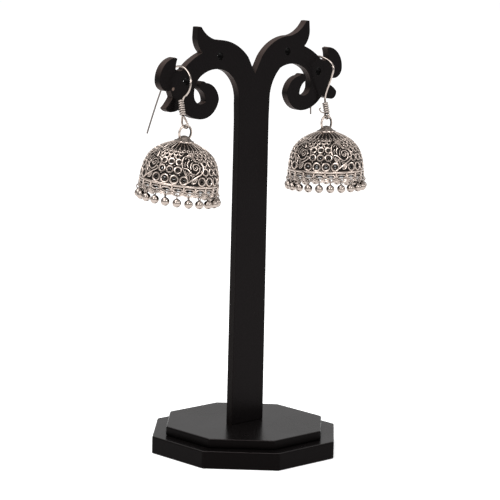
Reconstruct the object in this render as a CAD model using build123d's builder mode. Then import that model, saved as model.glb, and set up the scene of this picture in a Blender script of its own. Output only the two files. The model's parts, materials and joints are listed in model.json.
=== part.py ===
"""A pair of jhumka earrings hanging on a sawn display stand.

Millimetres. +Z is up, +X runs along the stand's board, -Y is its front.
The origin is the middle of the foot's underside.
"""
import os
from math import asin, atan, cos, degrees, radians, sin, sqrt, tan

from build123d import *

os.makedirs("parts", exist_ok=True)

# ---------------------------------------------------------------- stand sizes
foot_flats = 65.6        # lower octagon, across flats
foot_thick = 6.4
step_flats = 56.0        # upper octagon, across flats
step_thick = 3.3
board_thick = 3.0
post_foot_width = 15.5
post_top_width = 14.6
post_top_z = 120.0
notch_z = 137.2          # bottom of the V between the arms
arm_long = 0.5           # the left arm is this much longer than drawn, the right one shorter
hole_r = 1.3             # drilled display holes
inner_hole = (16.4, 144.2)
outer_hole = (32.2, 136.2)

# -------------------------------------------------------------- earring sizes
bell_points = (          # radius and height above the rim of the bell's outer surface
    (13.75, 0.0),
    (13.65, 2.6),
    (13.15, 5.3),
    (12.1, 7.8),
    (10.4, 9.85),
    (7.3, 12.4),
    (3.9, 14.2),
)
relief = 0.35            # how far the cast pattern stands up
wall = 0.75              # metal behind the pattern
rim_r = 14.0             # plain band round the mouth
rim_high = 1.0
rim_deep = 1.1
cap_r = 4.15             # lip of the plain cap
cap_lip_z = 14.2
apex_z = 15.9
paisleys = 5
first_paisley = 32.7     # angle of the middle of one paisley
paisley_z = 6.0
paisley_wire = 0.5
curls = (                # rings inside a paisley: place, outer radius, radius of the gap
    (1.5, 0.9, 1.5, 0.7),
    (-1.5, 2.0, 1.45, 0.65),
    (-1.3, -1.2, 0.85, 0.0),
)
cells = (                # ring cells: angle from the paisley, height, outer radius, radius of the gap
    (-28.8, 2.05, 1.55, 0.95),
    (-14.4, 2.05, 1.55, 0.95),
    (3.6, 1.45, 0.9, 0.0),
    (14.4, 2.05, 1.55, 0.95),
    (28.8, 2.05, 1.55, 0.95),
    (22.7, 5.4, 1.45, 0.9),
    (36.0, 5.4, 1.45, 0.9),
    (49.3, 5.4, 1.45, 0.9),
    (22.9, 8.0, 1.25, 0.75),
    (36.0, 8.0, 1.25, 0.75),
    (49.1, 8.0, 1.25, 0.75),
)
cell_wire = 0.45         # width of a raised ring
rib_count = 36           # fine ribs from the cap down to the first ridge
rib_wide = 0.28
ridge_z = (12.55, 11.5, 10.4)    # round ridges under the ribs
ridge_wire = 0.3
ring_r = 2.65            # top ring, wire centre
ring_wire = 0.42
wire = 0.4               # radius of the ear wire
gap = 0.1                # clearance where one link holds another
pivot_z = 18.46          # middle of the ear wire that the top ring hangs on
drops = 21
first_drop = 6.8
post_circle = 13.85      # posts that carry the scalloped wire under the rim
post_r = 0.35
post_low_z = -2.85
scallop_low_z = -3.4
scallop_wire = 0.3
link_r = 0.78            # ring of a drop, wire centre
link_wire = 0.22
neck_r = 0.38
bead_r = 1.52
bead_below = 2.56        # middle of the bead under the wire that the drop hangs on
coil_wire = 0.33
coil_r = 0.72            # middle of the coil's wire
coil_pitch = 0.69

# ----------------------------------------------------- where the earrings hang
left_pivot = (-35.7, -4.95, 120.5)
left_lean = (0.083, -0.070)      # x and y of the bell's upward axis
left_turn = -2.75                # degrees about that axis
left_coil = ((-36.8, -4.55, 124.8), (-37.1, -3.55, 130.4))     # its lower and upper end
left_eye_r = 1.55
left_shank = (           # ear wire from the tip behind the board to the coil
    (-35.0, 16.3, 116.3),
    (-34.5, 7.6, 138.6),
    (-34.3, 2.1, 141.4),
    (-34.3, -2.1, 141.4),
    (-35.2, -6.9, 138.0),
    (-36.0, -6.7, 133.0),
)
right_pivot = (33.4, -4.6, 119.1)
right_lean = (0.012, 0.033)
right_turn = 2.75
right_coil = ((33.5, -4.7, 120.8), (33.5, -3.5, 124.9))
right_eye_r = 1.0
right_shank = (
    (34.3, 4.6, 119.7),
    (33.5, 4.5, 139.3),
    (33.5, 2.1, 141.4),
    (33.5, -2.1, 141.4),
    (33.5, -8.0, 138.9),
    (33.1, -6.6, 133.6),
    (33.5, -3.4, 127.8),
)
stray_end = ((32.25, -3.5, 121.1), (31.5, -2.85, 122.6))      # cut end of the right coil's wire
stray_wire = 0.25


def export(shape, name):
    """Write one finished piece under its own name."""
    shape.label = name
    export_step(shape, f"parts/{name}.step", write_pcurves=False)


def octagon(flats):
    """Regular octagon with flats facing +-X and +-Y."""
    return RegularPolygon(flats / 2, 8, major_radius=False, rotation=22.5)


# ----------------------------------------------------------------- the stand
with BuildPart() as base_plate:
    with BuildSketch():
        octagon(foot_flats)
    extrude(amount=foot_thick)
export(base_plate.part, "base_plate")

with BuildPart() as base_step:
    with BuildSketch(Plane.XY.offset(foot_thick)):
        octagon(step_flats)
    extrude(amount=step_thick)
export(base_step.part, "base_step")


def arm_outline(far, tail, belly):
    """Closed outline of the arm on the +X side.

    far stretches it sideways, tail is the outer point of the lobe under the crescent, and belly
    is a point on the lobe's lower edge.
    """
    def at(x, z):
        return (x + far * min(1, x / 15), z)

    half = post_top_width / 2
    arch_foot = (7.5, 127.0)
    arch_left, arch_right = at(13.0, 138.5), at(25.6, 137.4)
    eye_right, eye_left = at(28.4, 131.3), at(22.9, 128.6)
    tongue_in, tongue_top = at(25.5, 132.9), at(23.0, 135.2)
    scroll_left, scroll_low = at(16.6, 129.0), at(24.8, 122.4)
    tail_root, tail_low = at(34.4, 127.2), at(38.4, 125.9)
    waist, under = at(38.4, 131.0), at(39.4, 133.4)
    crescent_out, crescent_tip, crescent_in = at(44.4, 136.6), at(37.6, 144.8), at(36.4, 144.4)
    saddle_out, saddle_in = at(37.2, 140.7), at(33.6, 140.5)
    elbow, shoulder, crotch = at(24.9, 145.8), at(17.5, 149.9), (3.3, 143.2)
    horn_out, horn_tip, horn_in = at(27.4, 151.0), at(27.1, 154.9), at(25.5, 154.9)
    with BuildSketch() as outline:
        with BuildLine():
            Polyline((0, post_top_z), (half, post_top_z), arch_foot)
            ThreePointArc(arch_foot, (9.3, 134.5), arch_left)
            ThreePointArc(arch_left, at(19.5, 139.65), arch_right)
            ThreePointArc(arch_right, at(27.8, 134.6), eye_right)
            ThreePointArc(eye_right, at(26.2, 128.0), eye_left)
            ThreePointArc(eye_left, at(23.5, 130.9), tongue_in)
            ThreePointArc(tongue_in, at(26.0, 134.3), tongue_top)
            ThreePointArc(tongue_top, at(18.7, 133.3), scroll_left)
            ThreePointArc(scroll_left, at(19.4, 124.2), scroll_low)
            ThreePointArc(scroll_low, at(30.3, 123.8), tail_root)
            ThreePointArc(tail_root, at(36.2, 126.2), tail_low)
            ThreePointArc(tail_low, belly, tail)
            ThreePointArc(tail, (tail[0] - 1.6, tail[1] + 1.5), waist)
            Line(waist, under)
            ThreePointArc(under, at(42.9, 134.0), crescent_out)
            ThreePointArc(crescent_out, at(42.4, 142.4), crescent_tip)
            Line(crescent_tip, crescent_in)
            ThreePointArc(crescent_in, at(37.0, 142.5), saddle_out)
            ThreePointArc(saddle_out, at(35.4, 140.05), saddle_in)
            ThreePointArc(saddle_in, at(30.0, 143.3), elbow)
            ThreePointArc(elbow, at(26.7, 148.2), horn_out)
            Polyline(horn_out, horn_tip, horn_in)
            ThreePointArc(horn_in, at(22.6, 151.9), shoulder)
            ThreePointArc(shoulder, at(8.9, 147.8), crotch)
            Polyline(crotch, (0, notch_z), (0, post_top_z))
        make_face()
    return outline.sketch


right_arm = arm_outline(-arm_long, (41.3, 128.5), (40.7, 126.4))
left_arm = mirror(arm_outline(arm_long, (42.2, 127.3), (40.9, 126.2)), about=Plane.YZ)

with BuildPart() as stand_board:
    with BuildSketch(Plane.XZ.offset(-board_thick / 2)):
        with BuildLine():
            foot, top = foot_thick + step_thick, post_top_z
            wide, narrow = post_foot_width / 2, post_top_width / 2
            Polyline((-wide, foot), (wide, foot), (narrow, top), (-narrow, top), close=True)
        make_face()
        add(right_arm)
        add(left_arm)
    extrude(amount=board_thick)
    with BuildSketch(Plane.XZ.offset(-board_thick / 2)):
        for x, z in (inner_hole, outer_hole):
            with Locations((x - arm_long, z), (-x - arm_long, z)):
                Circle(hole_r)
    extrude(amount=board_thick, mode=Mode.SUBTRACT)
export(stand_board.part, "stand_board")

# ------------------------------------------- one bell, drawn in a frame of its own
# Its origin is the middle of the rim, +Z runs up the bell, and the top ring lies in XZ.


def skin(z):
    """Radius and lean, in degrees, of the bell's outer surface at height z."""
    for (r0, z0), (r1, z1) in zip(bell_points, bell_points[1:]):
        if z <= z1 or (r1, z1) == bell_points[-1]:
            slope = (r0 - r1) / (z1 - z0)
            return r0 - slope * (z - z0), degrees(atan(slope))


def bell_layer(outside, inside):
    """Solid of revolution between two copies of the bell's profile, each set in by a distance."""
    def copy(inset):
        """The profile set in, its corners where the neighbouring straight runs meet."""
        leans = [atan((r0 - r1) / (z1 - z0)) for (r0, z0), (r1, z1) in zip(bell_points, bell_points[1:])]
        points = []
        for (r, z), before, after in zip(bell_points, leans[:1] + leans, leans + leans[-1:]):
            across = inset / cos((after - before) / 2)
            points.append((r - across * cos((before + after) / 2), z - across * sin((before + after) / 2)))
        return points

    with BuildPart() as layer:
        with BuildSketch(Plane.XZ):
            with BuildLine():
                Polyline(*copy(outside), *reversed(copy(inside)), close=True)
            make_face()
        revolve(axis=Axis.Z)
    return layer.part


def on_skin(angle, z, lift=0.0):
    """Plane on the bell's surface: its normal points outwards and its y runs up the bell."""
    r, lean = skin(z)
    a, e = radians(angle), radians(lean)
    out = Vector(cos(e) * cos(a), cos(e) * sin(a), sin(e))
    return Plane(origin=Vector(r * cos(a), r * sin(a), z) + out * lift, x_dir=(-sin(a), cos(a), 0), z_dir=out)


def paisley_outline():
    """Closed outline of the paisley, its tip down to the left."""
    tip, right, top, left = (-1.4, -4.9), (3.85, 1.0), (-0.9, 4.6), (-3.85, 0.8)
    with BuildSketch() as outline:
        with BuildLine():
            ThreePointArc(tip, (1.9, -2.5), right)
            ThreePointArc(right, (2.2, 3.8), top)
            ThreePointArc(top, (-3.2, 3.3), left)
            ThreePointArc(left, (-3.0, -2.1), tip)
        make_face()
    return outline.sketch


sectors = [first_paisley + 360 / paisleys * k for k in range(paisleys)]
paisley = paisley_outline()

with BuildPart() as pattern:
    for middle in sectors:
        for side, z, r, gap_r in cells:
            with BuildSketch(on_skin(middle + side, z)):
                Circle(r)
                Circle(r - cell_wire, mode=Mode.SUBTRACT)
    extrude(amount=0.6, both=True)
    for middle in sectors:
        with BuildSketch(on_skin(middle, paisley_z, 0.6)):
            add(paisley)
            offset(amount=-paisley_wire, mode=Mode.SUBTRACT)
            for x, y, r, gap_r in curls:
                with Locations((x, y)):
                    Circle(r)
                    Circle(r - cell_wire, mode=Mode.SUBTRACT)
        extrude(amount=-3.6)
    with BuildSketch(Plane.XY.offset(ridge_z[0])):
        with PolarLocations((skin(ridge_z[0])[0] + cap_r) / 2, rib_count):
            Rectangle(skin(ridge_z[0])[0] - cap_r, rib_wide)
    extrude(amount=apex_z - ridge_z[0])
    add(bell_layer(0, relief + 0.05), mode=Mode.INTERSECT)

# the scalloped wire under the rim, and the posts that carry it
step = 360 / drops
half_step = post_circle * sin(radians(step / 2))
drop_circle = post_circle * cos(radians(step / 2))

with BuildPart() as hem:
    for k in range(drops):
        facing = Plane.XY.rotated((0, 0, first_drop + step * k))
        out, along = facing.x_dir, facing.y_dir
        with BuildLine(Plane(origin=out * drop_circle, x_dir=along, z_dir=out)):
            ThreePointArc((-half_step, post_low_z), (0, scallop_low_z), (half_step, post_low_z))
        start = out * drop_circle - along * half_step + Vector(0, 0, post_low_z)
        with BuildSketch(Plane(origin=start, z_dir=along)):
            Circle(scallop_wire)
        sweep()
    with BuildSketch(Plane.XY.offset(post_low_z - scallop_wire)):
        with PolarLocations(post_circle, drops, start_angle=first_drop + step / 2):
            Circle(post_r)
    extrude(amount=scallop_wire - post_low_z)

with BuildPart() as dome:
    add(bell_layer(relief, relief + wall))
    with BuildSketch(Plane.XZ):
        with BuildLine():
            lip, lip_top = (cap_r, cap_lip_z), (cap_r - 0.05, cap_lip_z + 0.35)
            shoulder = (1.5, apex_z - 0.4)
            apex = (0.3, apex_z)
            Polyline(apex, (0, apex_z), (0, cap_lip_z - 1.1), (3.7, cap_lip_z - 1.1), lip, lip_top)
            ThreePointArc(lip_top, (2.65, cap_lip_z + 0.75), shoulder)
            Line(shoulder, apex)
        make_face()
        with Locations((rim_r - rim_deep / 2, 0)):
            RectangleRounded(rim_deep, rim_high, 0.3)
        for z in ridge_z:
            r, lean = skin(z)
            with Locations((r - 0.2 * cos(radians(lean)), z - 0.2 * sin(radians(lean)))):
                Circle(ridge_wire)
    revolve(axis=Axis.Z)
    for middle in sectors:
        for side, z, r, gap_r in cells:
            if gap_r:
                with BuildSketch(on_skin(middle + side, z, 0.6)):
                    Circle(gap_r)
        with BuildSketch(on_skin(middle, paisley_z, 0.6)):
            for x, y, r, gap_r in curls:
                if gap_r:
                    with Locations((x, y)):
                        Circle(gap_r)
    extrude(amount=-3.4, mode=Mode.SUBTRACT)
    add(pattern.part)
    add(hem.part)
    with Locations((0, 0, pivot_z + wire + gap + ring_wire - ring_r)):
        Torus(ring_r, ring_wire, rotation=(90, 0, 0))

with BuildPart() as drop:    # its origin is the middle of the wire that it hangs on
    link_z = scallop_wire + gap + link_wire - link_r
    with Locations((0, 0, link_z)):
        Torus(link_r, link_wire, rotation=(90, 0, 0))
    with Locations((0, 0, -bead_below)):
        Sphere(bead_r)
        Cylinder(neck_r, bead_below + link_z - link_r, align=(Align.CENTER, Align.CENTER, Align.MIN))


def hang_bell(side, pivot, lean, turn):
    """Place one bell by its pivot and upward axis, with its drops hanging plumb, and write them."""
    up = Vector(*lean, sqrt(1 - lean[0] ** 2 - lean[1] ** 2))
    ahead = Vector(cos(radians(turn)), sin(radians(turn)), 0)
    seat = Plane(origin=Vector(*pivot) - up * pivot_z, x_dir=ahead, z_dir=up)
    export(dome.part.moved(seat.location), f"{side}_dome")
    for k in range(drops):
        angle = first_drop + step * k
        out = Vector(cos(radians(angle)), sin(radians(angle)), 0)
        hung_at = seat.from_local_coords(out * drop_circle + Vector(0, 0, scallop_low_z))
        export(drop.part.moved(Location(hung_at, (0, 0, angle + turn))), f"{side}_drop_{k + 1:02d}")
    return seat


def bend_radii(points):
    """Fillet radius at each inner point of a wire's route: as large as its two runs allow."""
    radii = []
    for a, b, c in zip(points, points[1:], points[2:]):
        run_in, run_out = Vector(*b) - Vector(*a), Vector(*c) - Vector(*b)
        turn = radians(run_in.get_angle(run_out))
        radii.append(0.45 * min(run_in.length, run_out.length) / tan(turn / 2))
    return radii


def ear_hook(pivot, hinge_axis, eye_r, coil, shank, stray=()):
    """Ear wire, coil and eye as one soldered piece, with the coil's cut end where it sticks out."""
    low, top = Vector(*coil[0]), Vector(*coil[1])
    route = (*shank, coil[1], coil[0])
    with BuildPart() as hook:
        with BuildLine() as path:
            FilletPolyline(*route, radius=bend_radii(route))
        with BuildSketch(Plane(origin=route[0], z_dir=Vector(*route[1]) - Vector(*route[0]))):
            Circle(wire)
        sweep()
        turns = round((top - low).length / coil_pitch)
        pitch = (top - low).length / turns
        with Locations(Plane(origin=low, z_dir=top - low)):
            Cylinder(coil_r + 0.1, turns * pitch, align=(Align.CENTER, Align.CENTER, Align.MIN))
            with Locations(*[(0, 0, pitch * (k + 0.5)) for k in range(turns)]):
                Torus(coil_r, coil_wire)
        # the eye lies square to the top ring, its lowest point on the pivot
        rise = low - Vector(*pivot)
        height, up = rise.length, rise.normalized()
        across = (hinge_axis - up * hinge_axis.dot(up)).normalized()
        face = Plane(origin=pivot, x_dir=across, z_dir=across.cross(up))
        if height > 2 * eye_r:
            with BuildLine(face):
                tilt = degrees(asin(eye_r / (height - eye_r)))
                bow = CenterArc((0, eye_r), eye_r, tilt, -180 - 2 * tilt)
                Polyline(bow @ 1, (0, height), bow @ 0)
            with BuildSketch(Plane(origin=pivot, z_dir=across)):
                Circle(wire)
            sweep(transition=Transition.ROUND)
        else:
            with Locations(Plane(origin=face.from_local_coords((0, eye_r, 0)), z_dir=face.z_dir)):
                Torus(eye_r, wire)
        if stray:
            with BuildLine():
                ThreePointArc(low, *stray)
            with BuildSketch(Plane(origin=low, z_dir=Vector(*stray[0]) - low)):
                Circle(stray_wire)
            sweep()
            with Locations(stray[1]):
                Sphere(wire)
    return hook


left_seat = hang_bell("left", left_pivot, left_lean, left_turn)
right_seat = hang_bell("right", right_pivot, right_lean, right_turn)

left_hook = ear_hook(left_pivot, left_seat.y_dir, left_eye_r, left_coil, left_shank)
export(left_hook.part, "left_ear_hook")

right_hook = ear_hook(right_pivot, right_seat.y_dir, right_eye_r, right_coil, right_shank, stray_end)
export(right_hook.part, "right_ear_hook")
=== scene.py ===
"""A pair of pierced silver jhumka earrings on their black display stand."""

import json
from math import atan, cos, degrees, hypot, pi, radians, sin, sqrt

import bmesh
import bpy
import numpy as np
from mathutils import Euler, Matrix, Vector


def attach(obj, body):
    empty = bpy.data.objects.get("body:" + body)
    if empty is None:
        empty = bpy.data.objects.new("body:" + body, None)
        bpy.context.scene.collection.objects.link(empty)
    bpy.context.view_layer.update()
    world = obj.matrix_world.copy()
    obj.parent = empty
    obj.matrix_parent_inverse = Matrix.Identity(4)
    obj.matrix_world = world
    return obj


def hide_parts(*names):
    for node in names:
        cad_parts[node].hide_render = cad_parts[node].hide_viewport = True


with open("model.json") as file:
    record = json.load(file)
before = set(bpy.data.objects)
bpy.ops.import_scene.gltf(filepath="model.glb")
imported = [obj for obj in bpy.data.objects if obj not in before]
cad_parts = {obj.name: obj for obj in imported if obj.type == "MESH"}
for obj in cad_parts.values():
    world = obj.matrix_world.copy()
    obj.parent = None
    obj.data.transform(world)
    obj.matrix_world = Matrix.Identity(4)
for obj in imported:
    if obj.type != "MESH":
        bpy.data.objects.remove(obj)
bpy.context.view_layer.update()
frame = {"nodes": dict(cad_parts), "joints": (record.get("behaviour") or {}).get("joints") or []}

MM = 0.001

# ------------------------------------------------------------ sizes of one bell, in mm
# In the bell's own frame: origin in the middle of the rim, +Z up the bell, top ring in XZ.
BELL_POINTS = (          # radius, height above the rim
    (13.75, 0.0),
    (13.65, 2.6),
    (13.15, 5.3),
    (12.1, 7.8),
    (10.4, 9.85),
    (7.2, 12.2),
    (3.5, 13.75),
)
PIVOT_Z = 18.46          # middle of the ear wire, where the top ring hangs on it
LEAN = {"left": (0.083, -0.070), "right": (0.012, 0.033)}    # x and y of the bell's upward axis
RELIEF = 0.35            # from the recesses to the tops of the raised work
WALL = 0.6
RIM_R, RIM_HIGH, RIM_DEEP = 14.0, 0.9, 1.1
CAP_R, CAP_Z, APEX_Z = 3.55, 13.85, 15.9
TOP_RING_R, TOP_RING_WIRE = 2.65, 0.42
EAR_WIRE = 0.4
GAP = 0.1                # clearance where one ring holds another
TOP_RING_Z = PIVOT_Z + EAR_WIRE + GAP + TOP_RING_WIRE - TOP_RING_R      # middle of the top ring

PAISLEYS = 5
FIRST_PAISLEY = 32.7     # degrees from the bell's X to a paisley's middle
PAISLEY_Z = 6.0
RING_ROWS = (            # height, ring radius to the outside, degrees from a paisley's middle to each ring
    (2.05, 1.68, (-26.4, -12.0, 16.8, 31.2)),
    (5.35, 1.46, (23.6, 36.6, 49.6)),
    (8.05, 1.31, (23.6, 36.6, 49.6)),
)
RING_WIRE = 0.3
HOLE_LEDGE = 1.02        # from a ring's outside to the hole in its middle
LIP_WIRE, LIP_SINK, LIP_OVER = 0.16, 2.2, 0.14       # lip of that hole; its sink is in wire radii
NET_ROWS = (             # height, cells round, ring radius to the outside, stretch up the bell
    (9.65, 34, 0.9, 1.1),
    (10.65, 34, 0.8, 1.3),
    (11.5, 34, 0.66, 1.3),
)
NET_WIRE = 0.15
DOTS = (                 # height, size, degrees from a paisley's middle: grains between the rings
    (3.75, 0.62, -19.2), (3.75, 0.62, 24.0), (3.6, 0.7, 38.4), (6.75, 0.62, 30.0), (6.75, 0.62, 43.0),
    (9.0, 0.6, 30.0), (9.0, 0.6, 43.0), (0.85, 0.5, -19.2), (0.85, 0.5, 24.0), (0.85, 0.5, 38.4),
)
VEIN_WIRE, GRAIN_R = 0.25, 0.34
VEIN_LIFT, GRAIN_LIFT, DOT_LIFT = -0.2, -0.22, -0.25         # their middles against the skin
RIBS = 30
RIB_POINTS = (           # height, thickness against the rib's wire
    (11.7, 0.45),
    (12.15, 1.05),
    (12.65, 1.0),
    (13.2, 0.85),
    (13.8, 0.65),
)
RIB_WIRE, RIB_LIFT = 0.19, -0.14

DROPS = 21
FIRST_DROP = 6.8         # degrees
POST_CIRCLE = 13.85
POST_LOW, SCALLOP_LOW = -2.85, -3.4
SCALLOP_WIRE = 0.3
LINK_OVAL = (1.7, 0.68, -1.5)          # half width, half height, middle height of the oval in a bay
OVAL_CIRCLE = POST_CIRCLE - 0.2
PETAL_RISE, PETAL_START = 0.55, 0.28   # above the scalloped wire; where it leaves a bay's middle
HOOP_R, HOOPS = 13.3, (-0.75, -1.5, -2.25)
PETAL_THICK, HOOP_THICK = 0.9, 0.85    # against the scalloped wire
LINK_R, LINK_WIRE = 0.78, 0.22
NECK_R, BEAD_R, BEAD_BELOW = 0.38, 1.52, 2.56
BALL_TOP, LINK_BRIGHT = -1.4, 0.55     # a drop is bright up to this height, and its ring duller

HOLES = ((16.4, 144.2), (32.2, 136.2))        # the stand's drilled holes, x and z, on both arms
HOLE_REACH = 1.5                              # their walls lie within this of their middles


def placed(name, data):
    """A new object of this data, in the scene."""
    made = bpy.data.objects.new(name, data)
    bpy.context.scene.collection.objects.link(made)
    return made


# ------------------------------------------------------------ node trees
def new_tree(name, kind, inputs, outputs):
    """An empty node group with named sockets: (name, type, default) for each input."""
    tree = bpy.data.node_groups.new(name, kind)
    for label, socket_type, default in inputs:
        socket = tree.interface.new_socket(label, in_out="INPUT", socket_type="NodeSocket" + socket_type)
        if default is not None:
            socket.default_value = default
    for label, socket_type in outputs:
        tree.interface.new_socket(label, in_out="OUTPUT", socket_type="NodeSocket" + socket_type)
    return tree, tree.nodes.new("NodeGroupInput").outputs, tree.nodes.new("NodeGroupOutput").inputs


def node(tree, kind, sockets=None, **settings):
    """Add a node: settings are its options, sockets its inputs, each a value or another node's output."""
    made = tree.nodes.new(kind)
    for option, value in settings.items():
        setattr(made, option, value)
    for place, value in (sockets or {}).items():
        if isinstance(value, bpy.types.NodeSocket):
            tree.links.new(value, made.inputs[place])
        else:
            made.inputs[place].default_value = value
    return made


def thickness(tree):
    """The size that each point carries."""
    return node(tree, "GeometryNodeInputNamedAttribute", {"Name": "thick"},
                data_type="FLOAT").outputs["Attribute"]


def facing(tree):
    """The turn that each point carries, as a rotation."""
    turn = node(tree, "GeometryNodeInputNamedAttribute", {"Name": "turn"}, data_type="FLOAT_VECTOR")
    return node(tree, "FunctionNodeEulerToRotation", {0: turn.outputs["Attribute"]}).outputs[0]


def finish_tree(tree, geometry, material, output):
    """End a geometry tree: smooth, real geometry in its material."""
    smooth = node(tree, "GeometryNodeSetShadeSmooth", {"Geometry": geometry})
    real = node(tree, "GeometryNodeRealizeInstances", {"Geometry": smooth.outputs[0]})
    dressed = node(tree, "GeometryNodeSetMaterial", {"Geometry": real.outputs[0], "Material": material})
    tree.links.new(dressed.outputs[0], output)


LENGTHS = ("Ring Radius", "Wire Radius", "Ball Radius")      # the trees' inputs that are given in mm


def grown(name, holder, tree, material, **sizes):
    """The plain mesh that a geometry tree makes from a holder of points and lines, which it uses up."""
    modifier = holder.modifiers.new(name, "NODES")
    modifier.node_group = tree
    for item in tree.interface.items_tree:
        if item.in_out != "INPUT" or item.name == "Geometry":
            continue
        if item.name == "Material":
            modifier[item.identifier] = material
        elif item.name in sizes:
            value = sizes[item.name]
            modifier[item.identifier] = value * MM if item.name in LENGTHS else value
    depsgraph = bpy.context.evaluated_depsgraph_get()
    mesh = bpy.data.meshes.new_from_object(holder.evaluated_get(depsgraph))
    mesh.name = name
    bpy.data.objects.remove(holder)
    return mesh


def ring_tree():
    """One wire ring on each point, turned by the point's attribute and laid in its own plane."""
    tree, given, made = new_tree("wire rings", "GeometryNodeTree", (
        ("Geometry", "Geometry", None),
        ("Ring Radius", "Float", 1.0),
        ("Wire Radius", "Float", 0.1),
        ("Ring Steps", "Int", 20),
        ("Wire Steps", "Int", 7),
        ("Stretch", "Float", 1.0),
        ("Material", "Material", None),
    ), (("Geometry", "Geometry"),))
    circle = node(tree, "GeometryNodeCurvePrimitiveCircle", {
        "Resolution": given["Ring Steps"], "Radius": given["Ring Radius"]})
    section = node(tree, "GeometryNodeCurvePrimitiveCircle", {
        "Resolution": given["Wire Steps"], "Radius": given["Wire Radius"]})
    ring = node(tree, "GeometryNodeCurveToMesh", {
        "Curve": circle.outputs["Curve"], "Profile Curve": section.outputs["Curve"]})
    oval = node(tree, "ShaderNodeCombineXYZ", {"X": 1.0, "Y": given["Stretch"], "Z": 1.0})
    rings = node(tree, "GeometryNodeInstanceOnPoints", {
        "Points": given["Geometry"], "Instance": ring.outputs[0], "Rotation": facing(tree),
        "Scale": oval.outputs[0]})
    finish_tree(tree, rings.outputs[0], given["Material"], made["Geometry"])
    return tree


def wire_tree():
    """Round wire along every chain of edges, thinned by the points' attribute."""
    tree, given, made = new_tree("wire along lines", "GeometryNodeTree", (
        ("Geometry", "Geometry", None),
        ("Wire Radius", "Float", 0.1),
        ("Wire Steps", "Int", 7),
        ("Material", "Material", None),
    ), (("Geometry", "Geometry"),))
    line = node(tree, "GeometryNodeMeshToCurve", {"Mesh": given["Geometry"]})
    section = node(tree, "GeometryNodeCurvePrimitiveCircle", {
        "Resolution": given["Wire Steps"], "Radius": given["Wire Radius"]})
    wire = node(tree, "GeometryNodeCurveToMesh", {
        "Curve": line.outputs[0], "Profile Curve": section.outputs["Curve"],
        "Scale": thickness(tree), "Fill Caps": True})
    finish_tree(tree, wire.outputs[0], given["Material"], made["Geometry"])
    return tree


def grain_tree():
    """A small soldered ball on each point, sized by the point's attribute."""
    tree, given, made = new_tree("granulation", "GeometryNodeTree", (
        ("Geometry", "Geometry", None),
        ("Ball Radius", "Float", 0.1),
        ("Detail", "Int", 2),
        ("Material", "Material", None),
    ), (("Geometry", "Geometry"),))
    ball = node(tree, "GeometryNodeMeshIcoSphere", {
        "Radius": given["Ball Radius"], "Subdivisions": given["Detail"]})
    balls = node(tree, "GeometryNodeInstanceOnPoints", {
        "Points": given["Geometry"], "Instance": ball.outputs[0], "Scale": thickness(tree)})
    finish_tree(tree, balls.outputs[0], given["Material"], made["Geometry"])
    return tree


def piercing_tree():
    """The wall with a round hole sunk through it at each point."""
    tree, given, made = new_tree("pierced wall", "GeometryNodeTree", (
        ("Geometry", "Geometry", None),
        ("Wall", "Object", None),
        ("Depth", "Float", 0.002),
        ("Hole Steps", "Int", 14),
        ("Material", "Material", None),
    ), (("Geometry", "Geometry"),))
    wall = node(tree, "GeometryNodeObjectInfo", {"Object": given["Wall"]})
    punch = node(tree, "GeometryNodeMeshCylinder", {
        "Vertices": given["Hole Steps"], "Radius": MM, "Depth": given["Depth"]})
    size = thickness(tree)
    scale = node(tree, "ShaderNodeCombineXYZ", {"X": size, "Y": size, "Z": 1.0})
    punches = node(tree, "GeometryNodeInstanceOnPoints", {
        "Points": given["Geometry"], "Instance": punch.outputs["Mesh"],
        "Rotation": facing(tree), "Scale": scale.outputs[0]})
    real = node(tree, "GeometryNodeRealizeInstances", {"Geometry": punches.outputs[0]})
    cut = node(tree, "GeometryNodeMeshBoolean", operation="DIFFERENCE", solver="EXACT")
    tree.links.new(wall.outputs["Geometry"], cut.inputs["Mesh 1"])
    tree.links.new(real.outputs[0], cut.inputs["Mesh 2"])
    finish_tree(tree, cut.outputs["Mesh"], given["Material"], made["Geometry"])
    return tree


def fringe_tree():
    """The same drop on every point, turned about the plumb line."""
    tree, given, made = new_tree("bead fringe", "GeometryNodeTree", (
        ("Geometry", "Geometry", None),
        ("Drop", "Object", None),
        ("Material", "Material", None),
    ), (("Geometry", "Geometry"),))
    drop = node(tree, "GeometryNodeObjectInfo", {"Object": given["Drop"], "As Instance": True})
    drops = node(tree, "GeometryNodeInstanceOnPoints", {
        "Points": given["Geometry"], "Instance": drop.outputs["Geometry"], "Rotation": facing(tree)})
    finish_tree(tree, drops.outputs[0], given["Material"], made["Geometry"])
    return tree


RING_TREE, WIRE_TREE, GRAIN_TREE = ring_tree(), wire_tree(), grain_tree()
PIERCING_TREE, FRINGE_TREE = piercing_tree(), fringe_tree()


# ------------------------------------------------------------ the bell's skin and paths on it
def skin_curve():
    """Smooth curve near the profile's points: radius as a polynomial of the height."""
    radii, levels = zip(*BELL_POINTS)
    return np.polyfit(levels, radii, 4)


SKIN = skin_curve()
SKIN_Z = np.linspace(0, CAP_Z, 400)
skin_steps = np.hypot(np.diff(np.polyval(SKIN, SKIN_Z)), np.diff(SKIN_Z))
SKIN_RUN = np.concatenate(([0], np.cumsum(skin_steps)))      # way up the skin to each of those heights


def skin(z):
    """Radius and lean, in radians, of the bell's outer surface at height z."""
    return float(np.polyval(SKIN, z)), atan(-float(np.polyval(np.polyder(SKIN), z)))


def on_skin(angle, z, lift):
    """Matrix on the bell's surface, in mm: its Z points outwards and its Y runs up the bell."""
    r, lean = skin(z)
    a = radians(angle)
    out = Vector((cos(lean) * cos(a), cos(lean) * sin(a), sin(lean)))
    along = Vector((-sin(a), cos(a), 0))
    place = Matrix((along, out.cross(along), out)).transposed().to_4x4()
    place.translation = Vector((r * cos(a), r * sin(a), z)) + out * lift
    return place


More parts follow.
